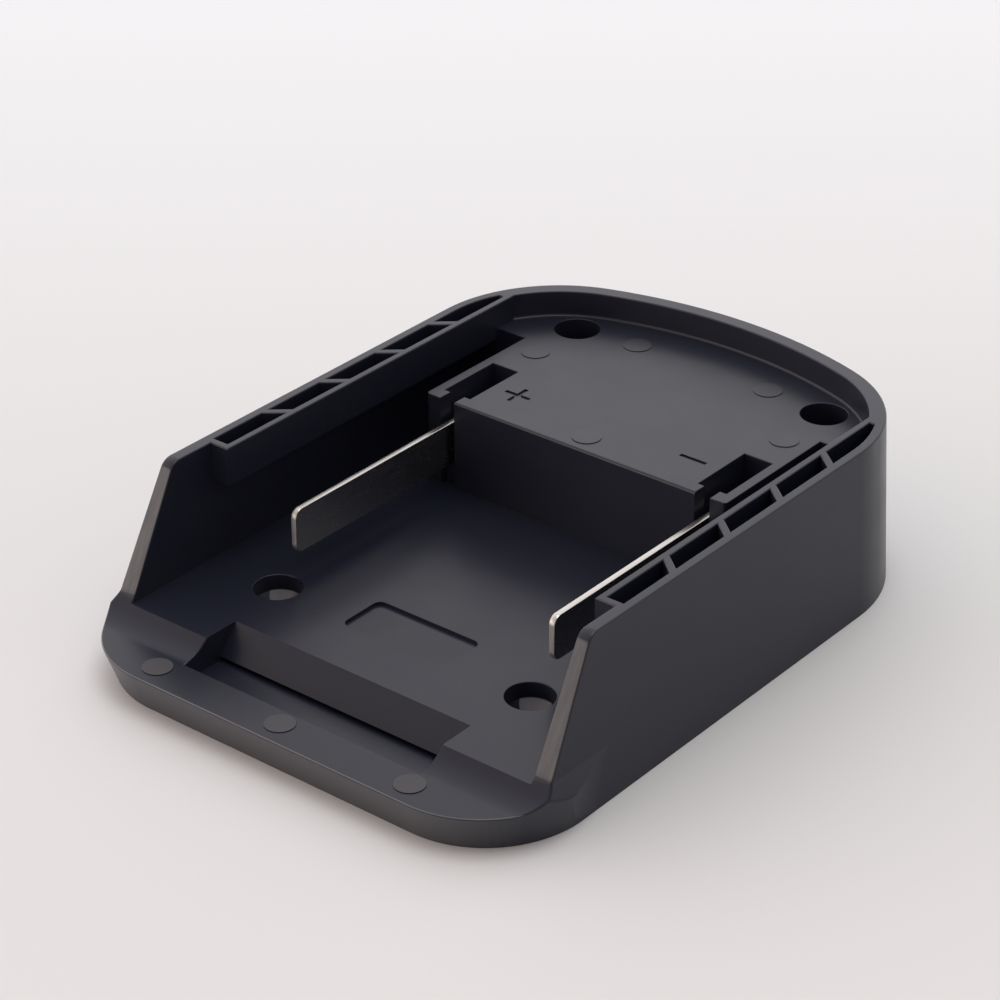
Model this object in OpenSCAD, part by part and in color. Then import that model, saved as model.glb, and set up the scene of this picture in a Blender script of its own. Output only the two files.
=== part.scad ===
// Tool battery adapter: a moulded tray that a slide-in battery pack clips into.
// Millimetres, Z up. X runs across, Y from the open front to the rear.
// The origin is at the centre of the footprint, on the surface that the tray stands on.

/* [Tray body] */
// Outer width across the tops of the side walls
top_width = 75; // [73:0.5:80]
// Height from the base to the tops of the walls
body_height = 26; // [25.5:0.25:29]
// Length from the front edge of the base to the top of the rear wall
body_length = 105.4; // [104:0.2:112]
// Draft of the outer walls in degrees, so that the base is wider than the top
wall_draft = 3; // [1:0.25:4]
// Thickness of the side walls at their tops
side_wall = 2; // [1.8:0.1:2.4]
// Thickness of the rear wall at its top
rear_wall = 2.5; // [2:0.1:3]
// Plan radius of the bowed rear wall
rear_radius = 70; // [66:1:80]
// Plan radius of the two rear corners
corner_radius = 22; // [20:0.5:24]

/* [Front lip] */
// Height of the lip's top face
lip_height = 5.7; // [5.2:0.1:6.4]
// How far the lip's top edge leans out past its base
lip_lean = 1.85; // [1:0.05:2.5]
// Radius of the lip's two front corners
lip_corner = 16; // [13:0.5:18]
// How far the lip's two ends flare out past the drafted side walls, at the lip's top
lip_flare = 1.1; // [0.5:0.1:1.3]
// Height at which the flare has run out into the walls
flare_top = 8.5; // [8:0.5:11]
// Distance from the front edge of the base to where the flare has run out along the walls
flare_back = 21; // [19:0.5:26]
// Radius of the hollow blend from the lip to the slanted wall ends
lip_blend = 6.6; // [4:0.2:7.6]
// Distance of the walls' top front corners from the front edge of the base
slope_top = 19.1; // [18.6:0.1:21]
// Slant of the walls' front ends from the vertical, in degrees
slope_angle = 27.4; // [24:0.2:28]
// Rounding of the walls' top front corners
slope_round = 2.2; // [1:0.1:3]

/* [Battery bay] */
// Height of the bay's floor
floor_height = 7.7; // [7.2:0.1:8.4]
// Thickness of the floor
floor_thickness = 2.6; // [2:0.1:3]
// Depth of a rail from the wall top to its underside
rail_depth = 5.85; // [5.2:0.05:7]
// How far a rail stands in from the side wall
rail_overhang = 3.2; // [2.6:0.1:4]
// Distance of the rails' front ends from the front edge of the base
rail_front = 26.6; // [25:0.2:29]
// Number of coring cells in the top of each rail
cell_count = 5; // [3:1:5]
// Distance from one coring cell to the next
cell_pitch = 12.3; // [11.4:0.1:12.8]
// Thickness of the ribs between the cells
cell_rib = 1.2; // [0.8:0.1:2]
// Slant of those ribs, whose inner ends lie further back, in degrees
rib_slant = 40; // [0:1:45]
// Thickness of the skin between a cell and the bay
cell_skin = 1.1; // [0.9:0.1:1.4]
// Thickness of the outer wall beside a cell
cell_wall = 1.5; // [1.3:0.1:1.9]
// Depth of the cells
cell_depth = 4.5; // [3:0.1:4.8]

/* [Latch pocket] */
// Width of the pocket that the battery's latch drops into
latch_width = 42; // [36:1:46]
// Distance of the pocket's catching face from the front edge of the base
latch_front = 4.6; // [4:0.1:5.4]
// Height of the pocket's floor
latch_floor = 3; // [2.4:0.1:3.4]
// Distance of the ramp's foot from the front edge of the base
ramp_foot = 11.6; // [10.6:0.1:12.4]
// Distance of the ramp's top from the front edge of the base
ramp_top = 15.05; // [14.4:0.05:16]
// Height of the slit under the ramp's foot
slit_height = 0.7; // [0.5:0.1:1]
// Depth of the slit under the ramp's foot
slit_depth = 1.6; // [1:0.1:2]

/* [Contact platform] */
// Height of the platform's top face
platform_height = 21.9; // [21.2:0.1:23]
// Width of the platform between the side grooves
platform_width = 54; // [53:0.5:57]
// Length of the platform, from its front face to the top of the rear wall
platform_length = 42.1; // [40.4:0.1:43.4]
// Distance of the side grooves' rear ends from the top of the rear wall
groove_setback = 18.7; // [17.4:0.1:20.4]
// Thickness of the platform's skin
platform_skin = 2.4; // [2:0.1:2.8]
// Rounding of the platform's upper front edge
platform_edge = 0.4; // [0.3:0.1:1]
// Rounding of the platform's upright front corners
platform_corner = 0.6; // [0.5:0.1:1.8]
// Width of the slots that the blades stand out of
slot_width = 2.6; // [2:0.1:3]
// Width of the pockets behind the slots
pocket_width = 4.8; // [4:0.1:5]
// Length of the pockets
pocket_length = 11.3; // [10.6:0.1:12]

/* [Markings] */
// Width of the bare panel in the floor
panel_width = 18.4; // [10:0.2:24]
// Length of the bare panel in the floor
panel_length = 8; // [5:0.2:12]
// Distance of the panel from the front edge of the base
panel_front = 23.7; // [20:0.1:28]
// Rounding of the panel's corners
panel_corner = 1.2; // [0.8:0.1:2]
// Depth of the panel
panel_depth = 0.5; // [0.2:0.05:0.6]
// Length of the strokes of the polarity marks
mark_length = 4.5; // [3:0.1:5]
// Width of the strokes
mark_stroke = 0.7; // [0.5:0.1:1.2]
// Depth of the strokes
mark_depth = 0.25; // [0.2:0.05:0.8]
// Distance of the marks from the middle
mark_offset = 15.9; // [12:0.1:16.4]
// Distance of the marks from the platform's front face
mark_setback = 7.7; // [6:0.1:10]

/* [Ejector marks] */
// Diameter of the round marks that the mould's ejector pins leave
ejector_diameter = 4.4; // [3:0.1:5]
// Height of the marks
ejector_height = 0.1; // [0.05:0.05:0.2]
// Distance between the marks on the lip
lip_mark_pitch = 22.5; // [20:0.1:24]
// How far the middle mark on the lip is off the tray's middle
lip_mark_shift = -0.9; // [-1.5:0.1:1.5]
// Distance of the lip's marks from the front edge of the base
lip_mark_front = 2; // [1.5:0.1:2.3]
// Distance from the middle to the marks beside the grooves' rear ends
side_mark_offset = 22.7; // [22:0.1:23]
// Distance of those marks in front of the grooves' rear ends
side_mark_setback = 2.9; // [2.5:0.1:4]
// Distance from the middle to the marks near the rear wall
rear_mark_offset = 12; // [8:0.1:14]
// Distance of the middle mark behind the platform's front face
front_mark_setback = 3.7; // [3.4:0.1:5]

/* [Screw holes] */
// Diameter of the four mounting holes
hole_diameter = 4; // [3.4:0.1:4.6]
// Diameter of the recesses above them, for the mounting screws' heads
recess_diameter = 7; // [6:0.1:7.4]
// Height of the recesses' lower ends, where their countersunk seats begin
seat_height = 5.2; // [4.6:0.1:5.8]
// Distance between the holes across the tray
hole_spacing_x = 45.3; // [44:0.1:46.4]
// Distance of the front holes from the front edge of the base
hole_front = 25.5; // [24.6:0.1:26.2]
// Distance of the rear holes from the top of the rear wall
hole_inset = 11.3; // [10.6:0.1:12.2]
// Thickness of the tubes around the recesses
boss_wall = 2.4; // [1.8:0.1:3]

/* [Contacts] */
// Distance between the two blades
blade_spacing = 46; // [45:0.1:46.4]
// Thickness of a blade
blade_thickness = 1; // [0.6:0.1:1.2]
// Height of a blade
blade_height = 6.9; // [5.5:0.1:8]
// Height of a blade's lower edge, which rests on its pocket's floor
blade_base = 11.2; // [10.8:0.1:12]
// How far a blade stands out of the platform's front face
blade_reach = 33.8; // [29.3:0.1:36.3]
// Rounding of a blade's front corners
blade_nose = 1.4; // [0.5:0.1:2.5]
// Width of a blade's tail and foot
tail_width = 7.6; // [6:0.1:8.4]
// Inner radius of the bend between tail and foot
bend_radius = 0.4; // [0.2:0.1:0.6]
// Thickness of the floor of a blade's pocket
pocket_floor = 2.5; // [1.8:0.1:3]
// Distance from the middle to a terminal screw
terminal_offset = 14; // [13.4:0.1:14.6]

/* [Terminal fasteners] */
// Diameter of a terminal screw's shank
terminal_shank = 3; // [2.5:0.1:3]
// Diameter of a terminal screw's head
terminal_head = 5.5; // [5:0.1:6]
// Height of a terminal screw's head
terminal_head_height = 2.2; // [1.6:0.1:2.4]
// Diameter of a threaded insert
insert_diameter = 4.4; // [4:0.1:5]
// Length of a threaded insert
insert_length = 5; // [4:0.1:6]
// Diameter of a terminal washer
washer_diameter = 6.8; // [6.2:0.1:7.2]
// Thickness of a terminal washer
washer_thickness = 0.7; // [0.5:0.1:1]

/* [Underside] */
// Thickness of the wiring cover
cover_thickness = 2; // [1.8:0.1:2.2]
// Height of the cover's outer face above the surface that the tray stands on
cover_lift = 0.3; // [0.1:0.05:0.5]
// Thickness of the wall in front of the cover
cover_wall = 2; // [1.4:0.1:2.6]
// Distance from the middle to a rear cover screw
rear_screw_offset = 12; // [10.4:0.1:13]
// Width of the outlet for the leads in the rear wall
outlet_width = 12; // [9:0.2:16]
// Height of the outlet
outlet_height = 5; // [4.6:0.1:6]
// Diameter of a cover screw's shank
cover_shank = 2.5; // [2.2:0.1:2.9]
// Diameter of a cover screw's head
cover_head = 4.8; // [4.4:0.1:5.2]
// Height of a cover screw's head
cover_head_height = 1; // [0.8:0.1:1.2]
// Length of a cover screw below its head
cover_screw_length = 5; // [4.4:0.1:5.4]
// Diameter of the bosses that the cover screws go into
cover_boss = 6.4; // [5.8:0.1:7]

/* [Clearances] */
// Gap around the wiring cover
cover_gap = 0.25; // [0.1:0.05:0.4]
// Gap around a screw's shank or an insert in its hole
screw_gap = 0.05; // [0.02:0.01:0.1]
// Gap around a shank in a plain hole and around a sunk head
plain_gap = 0.2; // [0.1:0.05:0.3]
// Gap between a blade and the ends of its pocket and slit
blade_gap = 0.3; // [0.2:0.05:0.5]

/* [Hidden] */
$fn = 96;

// How far a cut runs past the face that it opens
past = 1;
// How much wider than the drafted sides the leaning front is, so that they trim it
side_trim = 0.03;

half_top = top_width / 2;
draft_run = body_height * tan(wall_draft);
half_base = half_top + draft_run;
middle_y = (body_length + draft_run - lip_lean) / 2;
above = body_height + past;

// Plan of the rear: two corner arcs and a bowed arc that meet smoothly
rear_y = body_length - rear_radius;
corner_x = half_top - corner_radius;
corner_reach = sqrt(pow(rear_radius - corner_radius, 2) - pow(corner_x, 2));
corner_y = rear_y + corner_reach;

// Front: the lip's lean and the slanted wall ends
lean_angle = atan(lip_lean / lip_height);
lip_wall = half_base - lip_height * tan(wall_draft);
lip_half = lip_wall + lip_flare;
flare_angle = atan((lip_half - half_base) / lip_height);
corner_flare = atan(tan(flare_angle) * cos(lean_angle));
corner_out = lip_corner * (sin(lean_angle) * tan(flare_angle) - 1 / cos(flare_angle) + 1);
flare_front = lip_corner - lip_lean;
slope_foot = slope_top - (body_height - lip_height) * tan(slope_angle);
slope_up = [sin(slope_angle), cos(slope_angle)];
slope_in = [cos(slope_angle), -sin(slope_angle)];
blend_share = 1 / tan((90 + slope_angle) / 2);
front_end = slope_top + body_height;

// Battery bay
wall_x = half_top - side_wall;
rail_x = wall_x - rail_overhang;
rail_base = body_height - rail_depth;
cell_front = rail_front + cell_rib;
cell_end = rail_front + cell_count * cell_pitch + cell_rib;
cell_middle = (rail_x + cell_skin + half_top - cell_wall) / 2;
bay_front = -lip_lean - past;

// Contact platform
platform_front = body_length - platform_length;
groove_end = body_length - groove_setback;
platform_x = platform_width / 2;
blade_x = blade_spacing / 2;
pocket_front = platform_front + platform_skin;
pocket_end = pocket_front + pocket_length;
slot_sink = platform_skin / 2;
mark_y = platform_front + mark_setback;

// Blades: nose, tail, bend and foot
blade_front = platform_front - blade_reach;
blade_in = blade_x - blade_thickness / 2;
blade_out = blade_x + blade_thickness / 2;
blade_end = pocket_end - blade_gap;
tail_front = pocket_front + (pocket_length - tail_width) / 2;
tail_end = tail_front + tail_width;
tail_y = (tail_front + tail_end) / 2;
foot_top = blade_base - pocket_floor;
foot_base = foot_top - blade_thickness;
bend_outer = bend_radius + blade_thickness;
foot_tip = terminal_offset - tail_width / 2;

// Terminal stack, from the foot down
insert_sink = insert_length + blade_gap;
washer_base = foot_base - washer_thickness;
shank_top = foot_top + insert_length - blade_gap;
shank_hole = terminal_shank + 2 * plain_gap;

// Underside
under_floor = floor_height - floor_thickness;
cavity_x = half_top - rear_wall;
ceiling = platform_height - platform_skin;
under_front = ramp_top + floor_thickness;
wall_front = platform_front - cover_wall;
well_x = foot_tip - plain_gap;
cover_top = cover_lift + cover_thickness;
seat_front = platform_front;
cover_front = seat_front + cover_gap;
hole_x = hole_spacing_x / 2;
hole_rear = body_length - hole_inset;
hole_rows = [hole_front, hole_rear];
seat_base = seat_height - (recess_diameter - hole_diameter) / 2;
boss_radius = recess_diameter / 2 + boss_wall;
cover_boss_x = (platform_x + cavity_x) / 2;
front_spot = [cover_boss_x, pocket_front + cover_boss / 2];
rear_spot = [rear_screw_offset, hole_rear + cover_boss / 2];
cover_spots = [front_spot, rear_spot];
sunk_head = cover_lift + cover_head_height + plain_gap;
pilot_top = sunk_head + cover_screw_length + plain_gap;
outlet_base = cover_top + cover_gap;

module both_sides() {
    children();
    mirror([1, 0, 0]) children();
}

// Box between two opposite corners
module block(low, high) {
    translate(low) cube(high - low);
}

// Outline drawn in Y and Z, drawn out to half_width on either side
module across(half_width) {
    translate([-half_width, 0, 0])
        rotate([90, 0, 90])
            linear_extrude(2 * half_width)
                children();
}

// Rod along X, at a place in Y and Z
module cross_rod(y, z, radius, half_width) {
    translate([-half_width, y, z])
        rotate([0, 90, 0])
            cylinder(h = 2 * half_width, r = radius);
}

// Rear end of the tray's plan from low_z to high_z, grown by a size at each height
module rear_plan(low_grow, high_grow, low_z, high_z) {
    height = high_z - low_z;
    span = rear_radius - corner_radius;
    intersection() {
        translate([0, rear_y, low_z])
            cylinder(h = height, r1 = rear_radius + low_grow, r2 = rear_radius + high_grow, $fn = 180);
        translate([0, rear_y, low_z])
            linear_extrude(height)
                polygon([[corner_x, corner_reach], 2 * [corner_x, corner_reach],
                         2 * [-corner_x, corner_reach], [-corner_x, corner_reach]]);
    }
    both_sides()
        translate([corner_x, corner_y, low_z])
            intersection() {
                cylinder(h = height, r1 = corner_radius + low_grow, r2 = corner_radius + high_grow);
                linear_extrude(height)
                    polygon([[0, 0], [span, 0], [span, span], [corner_x, corner_reach]]);
            }
}

// Drafted side walls as a solid from one Y to another
module sides(from_y, to_y) {
    translate([0, to_y, 0])
        rotate([90, 0, 0])
            linear_extrude(to_y - from_y)
                polygon([[-half_base, 0], [half_base, 0],
                         [half_top, body_height], [-half_top, body_height]]);
}

// Room for the lip's flared ends, which run out upward and backward into the drafted sides
module flare_room() {
    foot = half_base - side_trim;
    wide = lip_half + past;
    gone = half_base - flare_top * tan(wall_draft);
    run_out = [lip_half, flare_front] + 2 * [lip_wall - lip_half, flare_back - flare_front];
    intersection() {
        translate([0, front_end, 0])
            rotate([90, 0, 0])
                linear_extrude(front_end - bay_front)
                    polygon([[-foot, 0], [foot, 0], [lip_half, lip_height], [gone, flare_top],
                             [-gone, flare_top], [-lip_half, lip_height]]);
        linear_extrude(body_height)
            polygon([[wide, bay_front], [wide, flare_front], [lip_half, flare_front], run_out,
                     [-run_out.x, run_out.y], [-lip_half, flare_front], [-wide, flare_front],
                     [-wide, bay_front]]);
    }
}

// Round-cornered front whose face and corners lean out toward the top
module leaning_front() {
    half = half_base + side_trim + corner_out;
    flat = half - lip_corner;
    reach = front_end + body_height;
    tall = 3 * body_height;
    wide = lip_half + past;
    rotate([lean_angle, 0, 0])
        block([-wide, lip_corner, -body_height], [wide, reach, tall]);
    both_sides()
        rotate([lean_angle, 0, 0])
            translate([flat, 0, 0])
                rotate([0, corner_flare, 0])
                    translate([-flat, 0, -body_height]) {
                        translate([flat, lip_corner, 0])
                            cylinder(h = tall, r = lip_corner);
                        block([-lip_corner, 0, 0], [flat, reach, tall]);
                    }
}

module outer_body() {
    intersection() {
        union() {
            sides(bay_front, front_end);
            flare_room();
        }
        leaning_front();
    }
    sides(front_end, corner_y);
    rear_plan(draft_run, 0, 0, body_height);
}

// Space in front of the slanted wall ends and above the lip, with its hollow blend
module front_space() {
    run = lip_blend * blend_share;
    foot = [slope_foot, lip_height];
    blend_top = foot + run * slope_up;
    across(half_base + past)
        difference() {
            polygon([[bay_front, lip_height], foot,
                     [slope_top + past * tan(slope_angle), above], [bay_front, above]]);
            difference() {
                polygon([foot - [run, 0], foot - [run, past], foot + [past, -past],
                         blend_top + past * slope_in, blend_top]);
                translate(foot + [-run, lip_blend]) circle(r = lip_blend);
            }
        }
}

// Shaving that rounds the walls' top front corners
module slope_rounding() {
    run = slope_round * blend_share;
    corner = [slope_top, body_height];
    low = corner - run * slope_up;
    across(half_base + past)
        difference() {
            polygon([corner + [run, 0], corner + [run, past], corner + [-past, past],
                     low - past * slope_in, low]);
            translate(corner + [run, -slope_round]) circle(r = slope_round);
        }
}

// Space that the battery slides through, around the rails and the platform
module bay() {
    block([-wall_x, bay_front, floor_height], [wall_x, platform_front, rail_base]);
    block([-wall_x, bay_front, floor_height], [wall_x, rail_front, above]);
    block([-rail_x, bay_front, floor_height], [rail_x, platform_front, above]);
    both_sides() {
        block([platform_x, platform_front - past, floor_height], [wall_x, groove_end, rail_base]);
        block([platform_x, platform_front - past, floor_height], [rail_x, groove_end, above]);
    }
    block([-rail_x, platform_front - past, platform_height], [rail_x, corner_y, above]);
    intersection() {
        rear_plan(-rear_wall, -rear_wall, platform_height, above);
        block([-rail_x, rear_y, 0], [rail_x, body_length, above + past]);
    }
}

// Open-top coring cells in the rails, parted by slanted ribs, the last cell trimmed by the rear corner
module cells() {
    base = body_height - cell_depth;
    rib_reach = rail_overhang + side_wall;
    difference() {
        intersection() {
            union() {
                block([-half_top + cell_wall, 0, base], [half_top - cell_wall, corner_y, above]);
                rear_plan(-cell_wall, -cell_wall, base, above);
            }
            both_sides()
                block([rail_x + cell_skin, cell_front, base - past], [half_top, cell_end, above + past]);
        }
        both_sides()
            for (i = [1 : cell_count - 1])
                translate([cell_middle, rail_front + cell_rib / 2 + i * cell_pitch, base - past])
                    rotate([0, 0, -rib_slant])
                        block([-rib_reach, -cell_rib / 2, 0],
                              [rib_reach, cell_rib / 2, cell_depth + 3 * past]);
    }
}

// Pocket for the battery's latch, with its ramp and the slit under the ramp's foot
module latch_pocket() {
    foot = latch_floor + slit_height;
    across(latch_width / 2)
        polygon([[latch_front, latch_floor], [ramp_foot + slit_depth, latch_floor],
                 [ramp_foot + slit_depth, foot], [ramp_foot, foot], [ramp_top, floor_height],
                 [ramp_top, above], [latch_front, above]]);
}

// Slots, pockets and tail slits for the blades
module blade_cuts() {
    bend_room = bend_radius + blade_gap;
    both_sides() {
        block([blade_x - slot_width / 2, platform_front - past, floor_height],
              [blade_x + slot_width / 2, platform_front + slot_sink, above]);
        block([blade_x - slot_width / 2, platform_front, blade_base],
              [blade_x + slot_width / 2, pocket_front + past, above]);
        block([blade_x - pocket_width / 2, pocket_front, blade_base],
              [blade_x + pocket_width / 2, pocket_end, above]);
        block([blade_in - bend_room, tail_front - blade_gap, foot_top - past],
              [blade_out + blade_gap, tail_end + blade_gap, blade_base + past]);
    }
}

// Shavings that round the platform's upper front edge and upright front corners
module platform_rounding() {
    edge_half = blade_x;
    difference() {
        block([-edge_half, platform_front, platform_height - platform_edge],
              [edge_half, platform_front + platform_edge, platform_height]);
        cross_rod(platform_front + platform_edge, platform_height - platform_edge, platform_edge,
                  edge_half + past);
    }
    both_sides()
        difference() {
            block([platform_x - platform_corner, platform_front, floor_height],
                  [platform_x, platform_front + platform_corner, platform_height]);
            translate([platform_x - platform_corner, platform_front + platform_corner, 0])
                cylinder(h = body_height, r = platform_corner, $fn = 32);
        }
}

// Sunk panel in the floor, with round corners
module panel() {
    x = panel_width / 2;
    y = panel_length / 2;
    deep = panel_depth + past;
    translate([0, panel_front + y, floor_height - panel_depth]) {
        block([panel_corner - x, -y, 0], [x - panel_corner, y, deep]);
        block([-x, panel_corner - y, 0], [x, y - panel_corner, deep]);
        for (way = [-1, 1])
            both_sides()
                translate([x - panel_corner, way * (y - panel_corner), 0])
                    cylinder(h = deep, r = panel_corner, $fn = 48);
    }
}

// Strokes of the polarity marks
module polarity() {
    stroke = mark_stroke / 2;
    arm = mark_length / 2;
    base = platform_height - mark_depth;
    both_sides()
        translate([mark_offset, mark_y, base])
            block([-arm, -stroke, 0], [arm, stroke, mark_depth + past]);
    translate([-mark_offset, mark_y, base])
        block([-stroke, -arm, 0], [stroke, arm, mark_depth + past]);
}

// Low round marks on the lip and on the platform
module ejector_marks() {
    module mark(x, y, top) {
        translate([x, y, top - past])
            cylinder(h = past + ejector_height, d = ejector_diameter, $fn = 48);
    }
    for (i = [-1 : 1])
        mark(lip_mark_shift + i * lip_mark_pitch, lip_mark_front, lip_height);
    mark(0, platform_front + front_mark_setback, platform_height);
    for (side = [-1, 1]) {
        mark(side * side_mark_offset, groove_end - side_mark_setback, platform_height);
        mark(side * rear_mark_offset, hole_rear + ejector_diameter / 4, platform_height);
    }
}

// Everything that opens from below: the cored floor, the wiring cavity and its bosses
module underside() {
    difference() {
        union() {
            block([-wall_x, under_front, -past], [wall_x, wall_front, under_floor]);
            block([-cavity_x, seat_front, -past], [cavity_x, corner_y, under_floor]);
            rear_plan(-rear_wall, -rear_wall, -past, under_floor);
            block([-platform_x + platform_skin, pocket_front, -past],
                  [platform_x - platform_skin, corner_y, foot_top]);
            block([-well_x, pocket_front, -past], [well_x, corner_y, ceiling]);
            block([-platform_x + platform_skin, pocket_end + platform_skin, -past],
                  [platform_x - platform_skin, groove_end + 2 * platform_skin, ceiling]);
            intersection() {
                rear_plan(-rear_wall, -rear_wall, -past, ceiling);
                block([-cavity_x, groove_end + platform_skin, -2 * past], [cavity_x, body_length, above]);
            }
        }
        both_sides() {
            for (y = hole_rows)
                translate([hole_x, y, 0])
                    cylinder(h = platform_height, r = boss_radius);
            for (spot = cover_spots)
                translate([spot.x, spot.y, cover_top])
                    cylinder(h = platform_height, r = cover_boss / 2);
        }
    }
}

// Hole for a mounting screw, with a countersunk seat and a recess for its head
module screw_hole() {
    rotate_extrude()
        polygon([[0, -past], [hole_diameter / 2, -past], [hole_diameter / 2, seat_base],
                 [recess_diameter / 2, seat_height], [recess_diameter / 2, above], [0, above]]);
}

// Holes for the mounting screws, the cover screws, the inserts and the leads
module drillings() {
    both_sides() {
        for (y = hole_rows)
            translate([hole_x, y, 0])
                screw_hole();
        for (spot = cover_spots)
            translate([spot.x, spot.y, cover_top - past])
                cylinder(h = past + pilot_top - cover_top, d = cover_shank + 2 * screw_gap, $fn = 32);
        translate([terminal_offset, tail_y, foot_top - past])
            cylinder(h = past + insert_sink, d = insert_diameter + 2 * screw_gap, $fn = 48);
    }
    outlet_round = outlet_height / 2;
    outlet_half = outlet_width / 2 - outlet_round;
    translate([0, corner_y, outlet_base + outlet_round])
        rotate([-90, 0, 0]) {
            both_sides()
                translate([outlet_half, 0, 0])
                    cylinder(h = body_length, r = outlet_round, $fn = 48);
            block([-outlet_half, -outlet_round, 0], [outlet_half, outlet_round, body_length]);
        }
}

module placed() {
    translate([0, -middle_y, 0]) children();
}

module tray() {
    color([0.16, 0.16, 0.18])
        placed() {
            difference() {
                outer_body();
                front_space();
                slope_rounding();
                bay();
                cells();
                latch_pocket();
                platform_rounding();
                blade_cuts();
                panel();
                polarity();
                underside();
                drillings();
            }
            ejector_marks();
        }
}

// Flat blade with rounded front corners, and a tail that bends under its pocket's floor
module blade() {
    nose_y = blade_front + blade_nose;
    blade_top = blade_base + blade_height;
    bend_x = blade_in - bend_radius;
    bend_z = foot_top + bend_radius;
    block([blade_in, nose_y, blade_base], [blade_out, blade_end, blade_top]);
    block([blade_in, blade_front, blade_base + blade_nose], [blade_out, nose_y, blade_top - blade_nose]);
    for (z = [blade_base + blade_nose, blade_top - blade_nose])
        translate([blade_x, 0, 0])
            cross_rod(nose_y, z, blade_nose, blade_thickness / 2);
    block([blade_in, tail_front, bend_z], [blade_out, tail_end, blade_base]);
    intersection() {
        translate([bend_x, tail_front, bend_z])
            rotate([-90, 0, 0])
                difference() {
                    cylinder(h = tail_width, r = bend_outer, $fn = 48);
                    translate([0, 0, -past]) cylinder(h = tail_width + 2 * past, r = bend_radius, $fn = 48);
                }
        block([bend_x, tail_front - past, foot_base - past], [blade_out + past, tail_end + past, bend_z]);
    }
    difference() {
        union() {
            block([terminal_offset, tail_front, foot_base], [bend_x, tail_end, foot_top]);
            translate([terminal_offset, tail_y, foot_base])
                cylinder(h = blade_thickness, d = tail_width);
        }
        translate([terminal_offset, tail_y, foot_base - past])
            cylinder(h = blade_thickness + 2 * past, d = shank_hole, $fn = 48);
    }
}

module blade_neg() {
    color([0.78, 0.77, 0.74]) placed() blade();
}

module blade_pos() {
    color([0.78, 0.77, 0.74]) placed() mirror([1, 0, 0]) blade();
}

// Places its children at one terminal, at a height: side is 1 for negative and -1 for positive
module at_terminal(side, z) {
    placed()
        translate([side * terminal_offset, tail_y, z])
            children();
}

module terminal_insert(side) {
    color([0.8, 0.63, 0.3])
        at_terminal(side, foot_top)
            difference() {
                cylinder(h = insert_length, d = insert_diameter, $fn = 48);
                translate([0, 0, -past])
                    cylinder(h = insert_length + 2 * past, d = terminal_shank + 2 * screw_gap, $fn = 48);
            }
}

module terminal_washer(side) {
    color([0.7, 0.7, 0.72])
        at_terminal(side, washer_base)
            difference() {
                cylinder(h = washer_thickness, d = washer_diameter, $fn = 48);
                translate([0, 0, -past])
                    cylinder(h = washer_thickness + 2 * past, d = shank_hole, $fn = 48);
            }
}

// Screw that points up from its head's underside at Z 0, with a cross recess in its head
module screw(head, head_height, shank, length) {
    recess_length = head * 0.55;
    recess_width = head * 0.14;
    recess_depth = head_height * 0.5;
    difference() {
        union() {
            translate([0, 0, -head_height]) cylinder(h = head_height, d = head, $fn = 48);
            cylinder(h = length, d = shank, $fn = 48);
        }
        for (turn = [0, 90])
            rotate([0, 0, turn])
                block([-recess_length / 2, -recess_width / 2, -head_height - past],
                      [recess_length / 2, recess_width / 2, recess_depth - head_height]);
    }
}

module terminal_screw(side) {
    color([0.72, 0.72, 0.74])
        at_terminal(side, washer_base)
            screw(terminal_head, terminal_head_height, terminal_shank, shank_top - washer_base);
}

module wiring_cover() {
    inset = rear_wall + cover_gap;
    color([0.14, 0.14, 0.16])
        placed()
            difference() {
                union() {
                    block([-half_top + inset, cover_front, cover_lift],
                          [half_top - inset, corner_y, cover_top]);
                    rear_plan(-inset, -inset, cover_lift, cover_top);
                }
                both_sides() {
                    translate([hole_x, hole_rear, 0])
                        cylinder(h = cover_top + past, r = boss_radius + cover_gap);
                    for (spot = cover_spots)
                        translate([spot.x, spot.y, 0]) {
                            cylinder(h = cover_top + past, d = cover_shank + 2 * plain_gap, $fn = 32);
                            cylinder(h = sunk_head, d = cover_head + 2 * plain_gap, $fn = 48);
                        }
                }
            }
}

module cover_screw(side, spot) {
    color([0.72, 0.72, 0.74])
        placed()
            translate([side * spot.x, spot.y, sunk_head])
                screw(cover_head, cover_head_height, cover_shank, cover_screw_length);
}

tray();
blade_pos();
blade_neg();
wiring_cover();
terminal_insert(-1);  // terminal_insert_pos
terminal_insert(1);  // terminal_insert_neg
terminal_washer(-1);  // terminal_washer_pos
terminal_washer(1);  // terminal_washer_neg
terminal_screw(-1);  // terminal_screw_pos
terminal_screw(1);  // terminal_screw_neg
cover_screw(-1, front_spot);  // cover_screw_front_left
cover_screw(1, front_spot);  // cover_screw_front_right
cover_screw(-1, rear_spot);  // cover_screw_rear_left
cover_screw(1, rear_spot);  // cover_screw_rear_right
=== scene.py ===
import math

import bmesh
import bpy
from mathutils import Matrix, Vector


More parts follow.
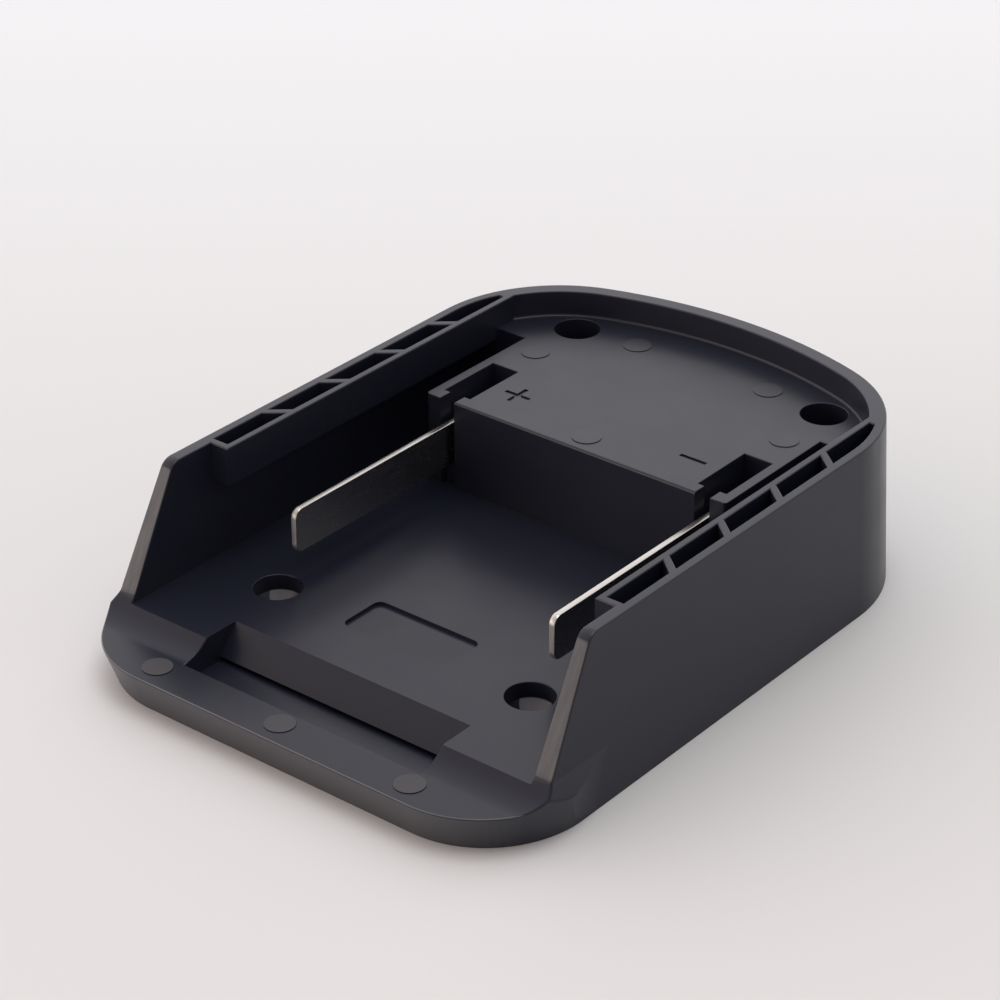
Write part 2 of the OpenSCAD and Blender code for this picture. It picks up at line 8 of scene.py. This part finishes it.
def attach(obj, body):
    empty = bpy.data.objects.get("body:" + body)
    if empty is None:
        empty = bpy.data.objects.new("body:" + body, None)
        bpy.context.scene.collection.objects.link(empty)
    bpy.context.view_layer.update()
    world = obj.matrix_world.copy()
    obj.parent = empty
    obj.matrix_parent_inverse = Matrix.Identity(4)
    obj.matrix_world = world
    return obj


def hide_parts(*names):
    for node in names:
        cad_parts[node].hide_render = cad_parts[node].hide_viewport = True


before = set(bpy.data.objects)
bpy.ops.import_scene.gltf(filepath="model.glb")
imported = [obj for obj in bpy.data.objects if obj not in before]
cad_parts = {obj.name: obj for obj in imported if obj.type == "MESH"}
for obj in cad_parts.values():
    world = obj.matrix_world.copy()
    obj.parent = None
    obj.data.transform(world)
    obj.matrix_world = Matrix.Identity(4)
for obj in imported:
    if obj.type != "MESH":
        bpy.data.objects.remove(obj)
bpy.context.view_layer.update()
mm = 0.001
print("frame loaded:", len(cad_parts), "nodes")


def addObject(name, data):
    obj = bpy.data.objects.new(name, data)
    bpy.context.scene.collection.objects.link(obj)
    return obj


# Turn of a camera or lamp that looks along a direction
def aim(direction):
    return direction.to_track_quat("-Z", "Y").to_matrix().to_4x4()


# Camera at the photograph's angle
photoCamera = {
    "azimuth": 39.035,  # degrees from the open front toward the right side
    "elevation": 29.115,
    "roll": -0.206,
    "distance": 450.8,  # mm
    "target": (-9.2, 6.07, 12.0),  # mm
    "lens": 112.12,  # mm
    "sensor": 36.0,  # mm
    "clip": (0.01, 20.0),  # m
}


def placeCamera(look):
    azimuth = math.radians(look["azimuth"])
    elevation = math.radians(look["elevation"])
    reach = math.cos(elevation)
    back = Vector((math.sin(azimuth) * reach, -math.cos(azimuth) * reach, math.sin(elevation)))
    data = bpy.data.cameras.new("photoCamera")
    data.lens = look["lens"]
    data.sensor_width = look["sensor"]
    data.clip_start, data.clip_end = look["clip"]
    camera = addObject("photoCamera", data)
    place = Matrix.Translation(Vector(look["target"]) * mm + back * look["distance"] * mm)
    camera.matrix_world = place @ aim(-back) @ Matrix.Rotation(math.radians(look["roll"]), 4, "Z")
    bpy.context.scene.camera = camera


placeCamera(photoCamera)
print("camera placed")


# Node helpers
def link(tree, a, b):
    tree.links.new(a, b)


def addNode(tree, kind, **values):
    node = tree.nodes.new(kind)
    for key, value in values.items():
        setattr(node, key, value)
    return node


def setInputs(node, **values):
    for key, value in values.items():
        node.inputs[key].default_value = value
    return node


def mathNode(tree, operation, a, b=None, clamp=False):
    node = addNode(tree, "ShaderNodeMath", operation=operation, use_clamp=clamp)
    for socket, value in zip(node.inputs, (a, b)):
        if value is None:
            continue
        if isinstance(value, (int, float)):
            socket.default_value = value
        else:
            link(tree, value, socket)
    return node.outputs[0]


def product(tree, value, *others):
    for other in others:
        value = mathNode(tree, "MULTIPLY", value, other)
    return value


def total(tree, value, *others):
    for other in others:
        value = mathNode(tree, "ADD", value, other)
    return value


def mapRange(tree, value, fromSpan, toSpan=(0.0, 1.0), smooth=False):
    node = addNode(tree, "ShaderNodeMapRange")
    if smooth:
        node.interpolation_type = "SMOOTHSTEP"
    link(tree, value, node.inputs["Value"])
    node.inputs["From Min"].default_value, node.inputs["From Max"].default_value = fromSpan
    node.inputs["To Min"].default_value, node.inputs["To Max"].default_value = toSpan
    return node.outputs["Result"]


def mixColour(tree, factor, a, b):
    node = addNode(tree, "ShaderNodeMix", data_type="RGBA")
    link(tree, factor, node.inputs["Factor"])
    for name, value in (("A", a), ("B", b)):
        if isinstance(value, tuple):
            node.inputs[name].default_value = (*value, 1)
        else:
            link(tree, value, node.inputs[name])
    return node.outputs["Result"]


def splitVector(tree, vector):
    node = addNode(tree, "ShaderNodeSeparateXYZ")
    link(tree, vector, node.inputs["Vector"])
    return node.outputs


def stretchVector(tree, vector, scale):
    node = setInputs(addNode(tree, "ShaderNodeMapping"), Scale=scale)
    link(tree, vector, node.inputs["Vector"])
    return node.outputs["Vector"]


def noiseNode(tree, vector, **values):
    node = setInputs(addNode(tree, "ShaderNodeTexNoise"), **values)
    link(tree, vector, node.inputs["Vector"])
    return node


def addBump(tree, shader, height, look):
    bump = setInputs(addNode(tree, "ShaderNodeBump"), Strength=look["bump"],
                     Distance=look["bumpDistance"] * mm)
    link(tree, height, bump.inputs["Height"])
    link(tree, bump.outputs["Normal"], shader.inputs["Normal"])


def newGroup(name, inputs, outputs):
    group = bpy.data.node_groups.new(name, "ShaderNodeTree")
    for label, kind, value in inputs:
        socket = group.interface.new_socket(label, in_out="INPUT", socket_type=kind)
        socket.default_value = value
    for label, kind in outputs:
        group.interface.new_socket(label, in_out="OUTPUT", socket_type=kind)
    source = group.nodes.new("NodeGroupInput")
    sink = group.nodes.new("NodeGroupOutput")
    return group, source.outputs, sink.inputs


# Moulded surface: fine grain, slow waviness and a little change of gloss
def makeMouldGrain():
    group, source, sink = newGroup(
        "mouldGrain",
        [("Vector", "NodeSocketVector", (0, 0, 0)), ("Grain Scale", "NodeSocketFloat", 2600.0),
         ("Wave Scale", "NodeSocketFloat", 60.0), ("Wave Share", "NodeSocketFloat", 0.4)],
        [("Height", "NodeSocketFloat"), ("Gloss Change", "NodeSocketFloat")],
    )
    grain = noiseNode(group, source["Vector"], Detail=2.0, Roughness=0.6)
    wave = noiseNode(group, source["Vector"], Detail=3.0, Roughness=0.5)
    patch = noiseNode(group, source["Vector"], Scale=110.0, Detail=5.0, Roughness=0.62)
    link(group, source["Grain Scale"], grain.inputs["Scale"])
    link(group, source["Wave Scale"], wave.inputs["Scale"])
    wavePart = product(group, wave.outputs["Fac"], source["Wave Share"])
    link(group, total(group, grain.outputs["Fac"], wavePart), sink["Height"])
    link(group, mapRange(group, patch.outputs["Fac"], (0.3, 0.7), (-1.0, 1.0)), sink["Gloss Change"])
    return group


# Loose dust: sparse pale specks of uneven size
def makeDustSpecks():
    group, source, sink = newGroup(
        "dustSpecks",
        [("Vector", "NodeSocketVector", (0, 0, 0)), ("Scale", "NodeSocketFloat", 220.0),
         ("Size", "NodeSocketFloat", 0.05), ("Share", "NodeSocketFloat", 0.1)],
        [("Mask", "NodeSocketFloat")],
    )
    cells = addNode(group, "ShaderNodeTexVoronoi", feature="F1")
    link(group, source["Vector"], cells.inputs["Vector"])
    link(group, source["Scale"], cells.inputs["Scale"])
    split = addNode(group, "ShaderNodeSeparateColor")
    link(group, cells.outputs["Color"], split.inputs["Color"])
    chosen = mathNode(group, "LESS_THAN", split.outputs["Red"], source["Share"])
    size = product(group, source["Size"], split.outputs["Green"])
    near = mathNode(group, "LESS_THAN", cells.outputs["Distance"], size)
    link(group, product(group, chosen, near), sink["Mask"])
    return group


mouldGrain = makeMouldGrain()
dustSpecks = makeDustSpecks()
print("shared effects built")


def newMaterial(name):
    mat = bpy.data.materials.new(name)
    mat.use_nodes = True
    tree = mat.node_tree
    tree.nodes.clear()
    shader = addNode(tree, "ShaderNodeBsdfPrincipled")
    output = addNode(tree, "ShaderNodeOutputMaterial")
    link(tree, shader.outputs["BSDF"], output.inputs["Surface"])
    coords = addNode(tree, "ShaderNodeTexCoord")
    return mat, tree, shader, coords.outputs["Object"]


def useGroup(tree, group, vector, values):
    node = setInputs(addNode(tree, "ShaderNodeGroup", node_tree=group), **values)
    link(tree, vector, node.inputs["Vector"])
    return node.outputs


# Black semi-gloss moulding of the tray
trayPlastic = {
    "black": (0.0122, 0.0146, 0.0262),
    "greys": {  # laid over the black zone by zone, in this order
        "discs": (0.055, 0.055, 0.062),  # ejector marks
        "scuffsAndSheen": (0.078, 0.070, 0.070),  # slanted wall ends: painted highlight where they face the light in front, with fine scuffs
        "seats": (0.15, 0.152, 0.172),  # painted light: pale patches where light falls on the seats in the front holes
        "lipFrontReflection": (0.060, 0.060, 0.066),  # paler: painted reflection of the pale table in front
        # the lip edge grey below is a painted highlight on the lip's rounded top edge
        "lipEdgeHighlight": (0.12, 0.12, 0.125),
        "dust": (0.14, 0.14, 0.15),
    },
    "roughness": 0.33,
    "floorRoughness": 0.30,  # faces that look up, below the platform
    "innerRoughness": 0.36,  # walls that face the middle
    "discRoughness": 0.5,
    "roughnessChange": 0.03,
    "gloss": 0.5,
    "floorGloss": 0.37,
    "outerGloss": 0.34,  # outer walls
    "ior": 1.47,
    "bump": 0.02,
    "bumpDistance": 0.06,  # mm
    "grain": {"Grain Scale": 2400.0, "Wave Scale": 55.0, "Wave Share": 0.9},
    "specks": {"Scale": 170.0, "Size": 0.05, "Share": 0.08},
    "scuffStretch": (1.0, 0.12, 0.12),  # fine scuffs along the slope
    "scuffShare": (0.55, 1.0),
    "discRadius": 2.2,  # mm
    "lipDiscs": ((-23.4, -50.46), (-0.9, -50.46), (21.6, -50.46)),  # mm
    "platformDiscs": ((0.0, 14.54), (-22.7, 31.34), (22.7, 31.34), (-12.0, 42.74), (12.0, 42.74)),  # mm
    "platformDiscShare": 0.25,
    # painted light: the pale seat patches sit off the hole centres, on the side where light falls
    "seatLightSpots": ((-23.75, -24.36), (21.55, -24.36)),  # mm
    "seatRadius": 2.3,  # mm
    "spotFade": 0.12,  # mm, soft border of the discs and the patches
    "seatTop": 5.3,  # mm
    "floorTop": 20.0,  # mm
    "lipEdgeTop": 5.68,  # mm
    "lipEdgeBack": -46.0,  # mm
    "facing": {  # where a zone fades in, as parts of the face's normal
        "scuffAndSheenY": (-0.80, -0.86),
        "scuffAndSheenZ": (0.36, 0.42),
        "lipFrontY": (-0.5, -0.95),
        "lipFrontZ": (-0.1, -0.2),
        "lipEdgeZ": 0.3,
        "levelZ": (0.48, 0.62),
        "uprightZ": (0.25, 0.1),
    },
}


def discMask(tree, vector, spots, radius, fade):
    flat = addNode(tree, "ShaderNodeVectorMath", operation="MULTIPLY")
    flat.inputs[1].default_value = (1, 1, 0)
    link(tree, vector, flat.inputs[0])
    mask = None
    for x, y in spots:
        gap = addNode(tree, "ShaderNodeVectorMath", operation="DISTANCE")
        gap.inputs[1].default_value = (x * mm, y * mm, 0)
        link(tree, flat.outputs["Vector"], gap.inputs[0])
        disc = mapRange(tree, gap.outputs["Value"], ((radius - fade) * mm, radius * mm), (1.0, 0.0))
        mask = disc if mask is None else mathNode(tree, "MAXIMUM", mask, disc)
    return mask


# Ejector marks: full on the lip, fainter on the platform
def ejectorMask(tree, vector, look):
    lip = discMask(tree, vector, look["lipDiscs"], look["discRadius"], look["spotFade"])
    platform = discMask(tree, vector, look["platformDiscs"], look["discRadius"], look["spotFade"])
    return mathNode(tree, "MAXIMUM", lip, product(tree, platform, look["platformDiscShare"]))


# Slanted wall ends, told by the way they face: painted highlight where they catch the light in front,
# broken by fine scuffs
def scuffAndSheenMask(tree, vector, facing, look):
    frontal = mapRange(tree, facing["Y"], look["facing"]["scuffAndSheenY"])
    rising = mapRange(tree, facing["Z"], look["facing"]["scuffAndSheenZ"])
    along = stretchVector(tree, vector, look["scuffStretch"])
    streak = noiseNode(tree, along, Scale=1500.0, Detail=3.0, Roughness=0.6)
    worn = mapRange(tree, streak.outputs["Fac"], (0.35, 0.65), look["scuffShare"])
    return product(tree, frontal, rising, worn)


# Where each finish, and each painted highlight, reflection and patch of light, lies, told by the place
# and by the way the surface faces
def trayZones(tree, vector, look):
    limits = look["facing"]
    normal = addNode(tree, "ShaderNodeNewGeometry").outputs["True Normal"]
    facing = splitVector(tree, normal)
    place = splitVector(tree, vector)

    def below(axis, limit):
        return mathNode(tree, "LESS_THAN", place[axis], limit * mm)

    outward = addNode(tree, "ShaderNodeVectorMath", operation="DOT_PRODUCT")
    link(tree, vector, outward.inputs[0])
    link(tree, normal, outward.inputs[1])
    inner = mathNode(tree, "LESS_THAN", outward.outputs["Value"], 0.0)
    upright = mapRange(tree, mathNode(tree, "ABSOLUTE", facing["Z"]), limits["uprightZ"])
    # painted light on the lit part of each front hole's seat
    litSeatPatches = discMask(tree, vector, look["seatLightSpots"], look["seatRadius"], look["spotFade"])
    rising = mathNode(tree, "GREATER_THAN", facing["Z"], limits["lipEdgeZ"])
    return {
        "discs": ejectorMask(tree, vector, look),
        "scuffsAndSheen": scuffAndSheenMask(tree, vector, facing, look),
        "seats": product(tree, below("Z", look["seatTop"]), litSeatPatches),
        # painted reflection: the lip's front face, paler where it faces the pale table in front
        "lipFrontReflection": product(tree, mapRange(tree, facing["Y"], limits["lipFrontY"]),
                            mapRange(tree, facing["Z"], limits["lipFrontZ"])),
        # painted highlight on the rounded top edge of the lip
        "lipEdgeHighlight": product(tree, below("Z", look["lipEdgeTop"]), below("Y", look["lipEdgeBack"]), rising),
        "dust": useGroup(tree, dustSpecks, vector, look["specks"])["Mask"],
        "floor": product(tree, mapRange(tree, facing["Z"], limits["levelZ"]),
                         below("Z", look["floorTop"])),
        "inner": inner,
        "outer": product(tree, upright, mathNode(tree, "SUBTRACT", 1.0, inner)),
    }


def makeTrayPlastic(name, look):
    mat, tree, shader, vector = newMaterial(name)
    zones = trayZones(tree, vector, look)
    grain = useGroup(tree, mouldGrain, vector, look["grain"])
    colour = look["black"]
    for zone, grey in look["greys"].items():
        colour = mixColour(tree, zones[zone], colour, grey)
    link(tree, colour, shader.inputs["Base Color"])

    def shift(zone, value, plain):
        return product(tree, zones[zone], look[value] - look[plain])

    zoned = total(tree, shift("floor", "floorRoughness", "roughness"),
                  shift("inner", "innerRoughness", "roughness"), look["roughness"])
    uneven = total(tree, zoned, product(tree, grain["Gloss Change"], look["roughnessChange"]))
    rough = mathNode(tree, "ADD", uneven, shift("discs", "discRoughness", "roughness"), clamp=True)
    link(tree, rough, shader.inputs["Roughness"])
    gloss = total(tree, shift("floor", "floorGloss", "gloss"), shift("outer", "outerGloss", "gloss"),
                  look["gloss"])
    link(tree, gloss, shader.inputs["Specular IOR Level"])
    shader.inputs["IOR"].default_value = look["ior"]
    addBump(tree, shader, grain["Height"], look)
    return mat


# Plated metal of the blades and small fasteners
def makePlatedMetal(name, look):
    mat, tree, shader, vector = newMaterial(name)
    along = stretchVector(tree, vector, look["stretch"])
    scratch = noiseNode(tree, along, Scale=900.0, Detail=4.0, Roughness=0.65).outputs["Fac"]
    wear = mapRange(tree, scratch, (0.35, 0.75))
    link(tree, mixColour(tree, wear, look["bright"], look["dull"]), shader.inputs["Base Color"])
    facing = splitVector(tree, addNode(tree, "ShaderNodeNewGeometry").outputs["True Normal"])
    cut = mapRange(tree, facing["Y"], look["cutY"], (0.0, look["cutRise"]))
    rough = mapRange(tree, scratch, (0.3, 0.7), look["roughness"])
    link(tree, mathNode(tree, "ADD", rough, cut, clamp=True), shader.inputs["Roughness"])
    addBump(tree, shader, scratch, look)
    shader.inputs["Metallic"].default_value = 1.0
    return mat


bladePlating = {
    "bright": (0.60, 0.585, 0.55),
    "dull": (0.55, 0.53, 0.49),
    "roughness": (0.22, 0.3),
    "stretch": (1.0, 0.15, 1.0),
    "cutY": (-0.5, -0.8),  # the front end is rough from the cut
    "cutRise": 0.2,
    "bump": 0.03,
    "bumpDistance": 0.03,  # mm
}
fastenerZinc = dict(bladePlating, bright=(0.66, 0.66, 0.67), dull=(0.48, 0.48, 0.5),
                    roughness=(0.25, 0.4), stretch=(1.0, 1.0, 0.4), cutRise=0.0)
insertBrass = dict(bladePlating, bright=(0.83, 0.62, 0.28), dull=(0.62, 0.44, 0.17),
                   roughness=(0.25, 0.42), stretch=(1.0, 1.0, 0.3), cutRise=0.0)
coverPlastic = dict(trayPlastic, black=(0.013, 0.013, 0.015), roughness=0.5, bump=0.1,
                    lipDiscs=((-9.0, 24.0), (9.0, 24.0)), platformDiscs=((0.0, 40.0),), seatTop=-1.0)

finishes = {  # by the start of the node's name
    "tray": makeTrayPlastic("trayPlastic", trayPlastic),
    "wiring_cover": makeTrayPlastic("coverPlastic", coverPlastic),
    "blade": makePlatedMetal("bladePlating", bladePlating),
    "terminal_insert": makePlatedMetal("insertBrass", insertBrass),
    "terminal_washer": makePlatedMetal("washerZinc", fastenerZinc),
    "terminal_screw": makePlatedMetal("screwZinc", fastenerZinc),
    "cover_screw": makePlatedMetal("coverScrewZinc", fastenerZinc),
}
for nodeName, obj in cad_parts.items():
    finish = next(mat for start, mat in finishes.items() if nodeName.startswith(start))
    obj.data.materials.clear()
    obj.data.materials.append(finish)
print("finishes applied")


# Moulded and stamped edges aren't sharp: merged copies of the tray and the blades get small rounds
trayRounds = {  # mm
    "rim": 0.28,
    "slant": 0.28,
    "blend": 0.3,
    "crest": 0.3,
    "slantInner": 0.2,
    "lip": 0.32,
    "wall": 0.2,
    "platform": 0.12,
    "floor": 0.15,
    "foot": 0.4,
}
bladeRounds = {"stamped": 0.2}  # mm
trayLevels = {"lip": 5.7, "floor": 7.7, "blendTop": 9.3, "platform": 21.9, "wall": 26.0}  # mm
traySpans = {"pocketY": -38.0, "slantY": -30.0, "rearY": 30.0, "railX": 32.2}  # mm
trayFaces = {  # limits on parts of a face's normal
    "levelZ": 0.95,
    "uprightZ": 0.5,
    "draftZ": (0.03, 0.08),  # only the outer walls are drafted
    "lipZ": -0.1,  # only the lip's front leans out
    "squareX": 0.02,  # slopes that run straight across the part
    "slopeY": -0.01,
    "slopeZ": 0.02,
    "sideX": 0.6,  # walls beside such a slope
    "crestZ": 0.3,
}
roundSteps = {"tray": 3, "blade": 2}
markDepth = 0.6  # mm, walls lower than this belong to shallow marks and stay crisp
levelSlack = 0.05  # mm
mergeGap = 0.0005  # mm
flatBelow = math.radians(0.3)
sharpFrom = math.radians(25)
cornerFrom = math.radians(40)


def wallHeight(face):
    heights = [v.co.z / mm for v in face.verts]
    return max(heights) - min(heights)


def onLevel(z, name):
    return abs(z - trayLevels[name]) < levelSlack


# Round of an edge of a level face, from its height and the wall that it meets
def levelRound(mid, wall, convex):
    rise = wall.normal.z
    if abs(rise) < trayFaces["uprightZ"] and wallHeight(wall) < markDepth:
        return None
    if onLevel(mid.z, "wall"):
        least, most = trayFaces["draftZ"]
        return "rim" if least < rise < most else "wall"
    if onLevel(mid.z, "platform"):
        atRearWall = mid.y > traySpans["rearY"] and abs(mid.x) < traySpans["railX"]
        return "platform" if convex else "foot" if atRearWall else None
    if onLevel(mid.z, "lip") and convex:
        return "lip" if rise < trayFaces["lipZ"] else None
    if onLevel(mid.z, "floor") and convex and mid.y > traySpans["pocketY"]:
        return "floor"
    return None


def isSlope(normal):
    square = abs(normal.x) < trayFaces["squareX"]
    return square and normal.y < trayFaces["slopeY"] and normal.z > trayFaces["slopeZ"]


def trayEdgeRound(edge):
    angle = edge.calc_face_angle_signed(0)
    if abs(angle) < sharpFrom:
        return None
    convex = angle > 0
    low, high = sorted(edge.link_faces, key=lambda f: f.normal.z)
    mid = (edge.verts[0].co + edge.verts[1].co) / (2 * mm)
    if high.normal.z > trayFaces["levelZ"]:
        found = levelRound(mid, low, convex)
        if found:
            return found
    if not convex or mid.y > traySpans["slantY"]:
        return None
    for face, wall in ((high, low), (low, high)):
        if isSlope(face.normal) and abs(wall.normal.x) > trayFaces["sideX"]:
            if wall.normal.x * mid.x < 0:
                return "slantInner"
            return "blend" if mid.z < trayLevels["blendTop"] else "slant"
    leaning = low.normal.z < trayFaces["lipZ"] and low.normal.x * mid.x > 0
    return "crest" if leaning and high.normal.z > trayFaces["crestZ"] else None


def bladeEdgeRound(edge):
    return "stamped" if edge.calc_face_angle_signed(0) > sharpFrom else None


# Merge the loose triangles, and weigh each edge by the round that it gets
def weighEdges(mesh, edgeRound, rounds):
    bm = bmesh.new()
    bm.from_mesh(mesh)
    bmesh.ops.remove_doubles(bm, verts=bm.verts, dist=mergeGap * mm)
    bmesh.ops.dissolve_limit(bm, angle_limit=flatBelow, verts=bm.verts, edges=bm.edges)
    weights = bm.edges.layers.float.new("bevel_weight_edge")
    widest = max(rounds.values())
    for edge in bm.edges:
        name = edgeRound(edge)
        edge[weights] = rounds[name] / widest if name else 0
        edge.smooth = name is not None or abs(edge.calc_face_angle_signed(0)) < sharpFrom
    for face in bm.faces:
        face.smooth = True
    bm.to_mesh(mesh)
    bm.free()


# Corners where two rounds meet stay crisp, so that the walls beside them are shaded flat
def markCorners(mesh):
    bm = bmesh.new()
    bm.from_mesh(mesh)
    for edge in bm.edges:
        if abs(edge.calc_face_angle_signed(0)) > cornerFrom:
            edge.smooth = False
    bm.to_mesh(mesh)
    bm.free()


def addRounds(nodeName, pieceName, edgeRound, rounds, segments):
    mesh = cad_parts[nodeName].data.copy()
    obj = addObject(pieceName, mesh)
    weighEdges(mesh, edgeRound, rounds)
    bevel = obj.modifiers.new("rounds", "BEVEL")
    bevel.limit_method = "WEIGHT"
    bevel.width = max(rounds.values()) * mm
    bevel.segments = segments
    bevel.use_clamp_overlap = False
    bevel.loop_slide = False
    rounded = obj.evaluated_get(bpy.context.evaluated_depsgraph_get())
    obj.data = bpy.data.meshes.new_from_object(rounded)
    obj.modifiers.clear()
    bpy.data.meshes.remove(mesh)
    obj.data.name = pieceName
    markCorners(obj.data)
    flat = obj.modifiers.new("flatFaces", "WEIGHTED_NORMAL")
    flat.keep_sharp = True
    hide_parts(nodeName)
    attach(obj, "root")


addRounds("tray", "trayMoulding", trayEdgeRound, trayRounds, roundSteps["tray"])
for pole in ("pos", "neg"):
    addRounds("blade_" + pole, "contactBlade_" + pole, bladeEdgeRound, bladeRounds,
              roundSteps["blade"])
print("edges rounded")


# Pale table, a sky that is bright behind on the left, a lamp above and a low window in front
studio = {
    "tableWidth": 6.0,  # m
    "tableDrop": 0.05,  # mm, below the part
    # painted light: the table is paler and cooler far away and to the left, toward the brightest light
    "tableNear": (0.765, 0.775, 0.772),
    "tableFarLit": (0.92, 0.96, 0.99),
    "tableFade": (-0.05, 0.45),  # m, from near to far
    "tableTurn": 0.8,  # turns the far side toward the left
    "tableCloud": 0.1,
    "tableRoughness": 0.6,
    "tableGloss": 0.2,
    "skyWarm": (1.0, 0.83, 0.77),  # in front
    "skyCool": (1.0, 0.965, 0.985),  # behind
    "skyFade": (-0.6, 0.3),
    "skyStrength": (0.42, 1.36),  # on the right, and toward the brightest part
    "skyToward": (-0.9, 0.4, -0.25),  # brightest behind and to the left
    "skySpan": (-0.6, 0.7),
    "lamps": {  # place and size in m, power in W
        "topLamp": ((0.15, 0.1, 1.3), (0.8, 0.8), 4.5),
        "frontWindow": ((-0.85, -1.15, 0.24), (1.6, 0.45), 4.0),
    },
}


def makeTable(look):
    mesh = bpy.data.meshes.new("paleTable")
    bm = bmesh.new()
    bmesh.ops.create_grid(bm, x_segments=1, y_segments=1, size=look["tableWidth"] / 2)
    bmesh.ops.translate(bm, verts=bm.verts, vec=(0, 0, -look["tableDrop"] * mm))
    bm.to_mesh(mesh)
    bm.free()
    table = addObject("paleTable", mesh)
    mat, tree, shader, vector = newMaterial("paleTable")
    cloud = noiseNode(tree, vector, Scale=3.0, Detail=2.0)
    place = splitVector(tree, vector)
    # painted light: paler toward the far left, where the light comes from
    away = mathNode(tree, "SUBTRACT", place["Y"], product(tree, place["X"], look["tableTurn"]))
    far = mapRange(tree, away, look["tableFade"], smooth=True)
    cloudy = product(tree, cloud.outputs["Fac"], look["tableCloud"])
    share = mathNode(tree, "ADD", far, cloudy, clamp=True)
    link(tree, mixColour(tree, share, look["tableNear"], look["tableFarLit"]), shader.inputs["Base Color"])
    shader.inputs["Roughness"].default_value = look["tableRoughness"]
    shader.inputs["Specular IOR Level"].default_value = look["tableGloss"]
    mesh.materials.append(mat)


def lightSky(look):
    world = bpy.data.worlds.new("studio")
    bpy.context.scene.world = world
    world.use_nodes = True
    tree = world.node_tree
    backdrop = tree.nodes["Background"]
    way = addNode(tree, "ShaderNodeTexCoord").outputs["Generated"]
    behind = mapRange(tree, splitVector(tree, way)["Y"], look["skyFade"], smooth=True)
    link(tree, mixColour(tree, behind, look["skyWarm"], look["skyCool"]), backdrop.inputs["Color"])
    toward = addNode(tree, "ShaderNodeVectorMath", operation="DOT_PRODUCT")
    toward.inputs[1].default_value = look["skyToward"]
    link(tree, way, toward.inputs[0])
    glow = mapRange(tree, toward.outputs["Value"], look["skySpan"], look["skyStrength"])
    link(tree, glow, backdrop.inputs["Strength"])


def hangLamps(look):
    for name, (spot, size, power) in look["lamps"].items():
        lamp = bpy.data.lights.new(name, "AREA")
        lamp.shape = "RECTANGLE"
        lamp.size, lamp.size_y = size
        lamp.energy = power
        place = Vector(spot)
        addObject(name, lamp).matrix_world = Matrix.Translation(place) @ aim(-place)


makeTable(studio)
lightSky(studio)
hangLamps(studio)
bpy.context.scene.view_settings.view_transform = "Standard"
print("studio lit")
